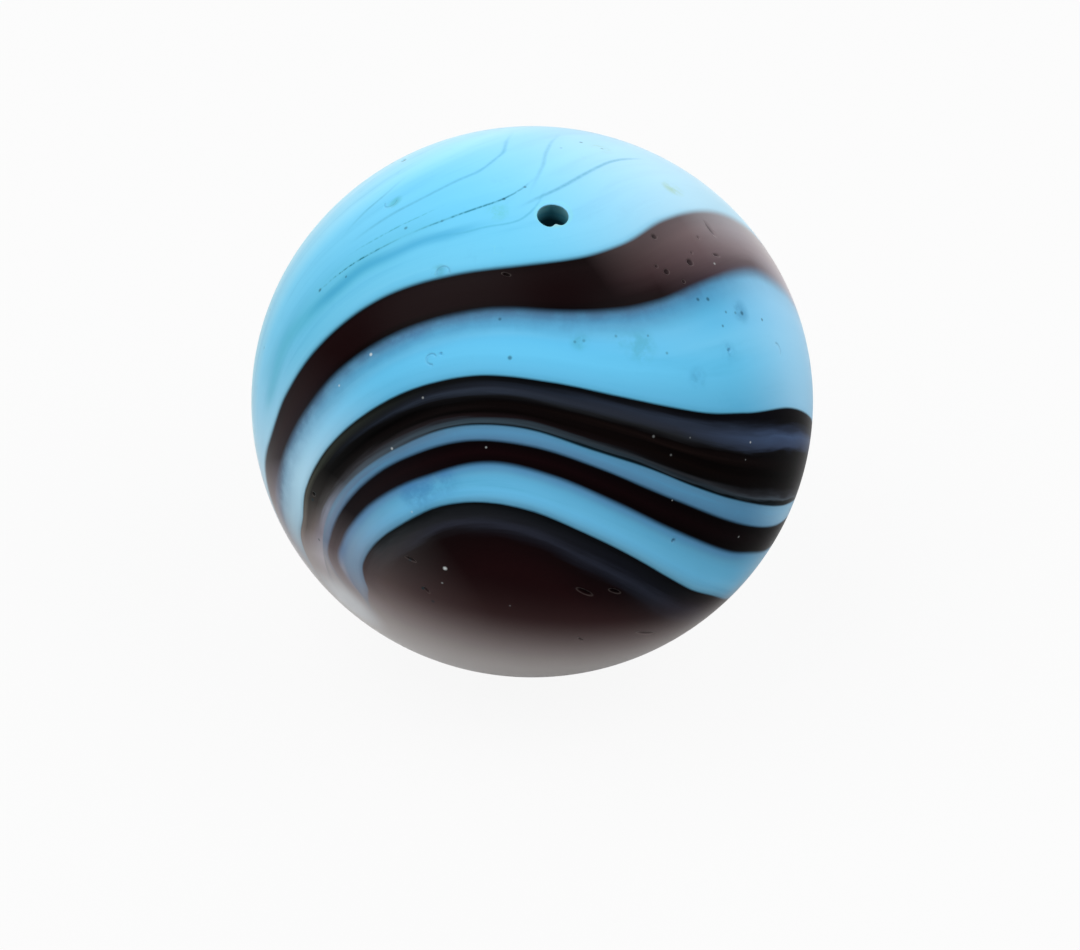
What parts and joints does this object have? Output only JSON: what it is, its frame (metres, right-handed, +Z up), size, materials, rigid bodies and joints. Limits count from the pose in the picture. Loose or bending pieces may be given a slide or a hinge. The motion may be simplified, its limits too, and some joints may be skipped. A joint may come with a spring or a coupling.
{
  "type": "glass marble",
  "caption": "Handmade opaque slag glass marble, turquoise with swirled oxblood ribbons and an open bubble, for rolling, for games and for desk display.",
  "frame": {"origin": "middle of the ball", "axes": "+Z up along the ball's short axis, -Y towards the side that shows the ribbons, +X to its right"},
  "size_m": [0.025, 0.025, 0.0242],
  "materials": {
    "slag_glass": "satin, worn by play; opaque turquoise glass with oxblood and black ribbons"
  },
  "bodies": {
    "root": {"marble": "slag_glass"}
  },
  "joints": []
}
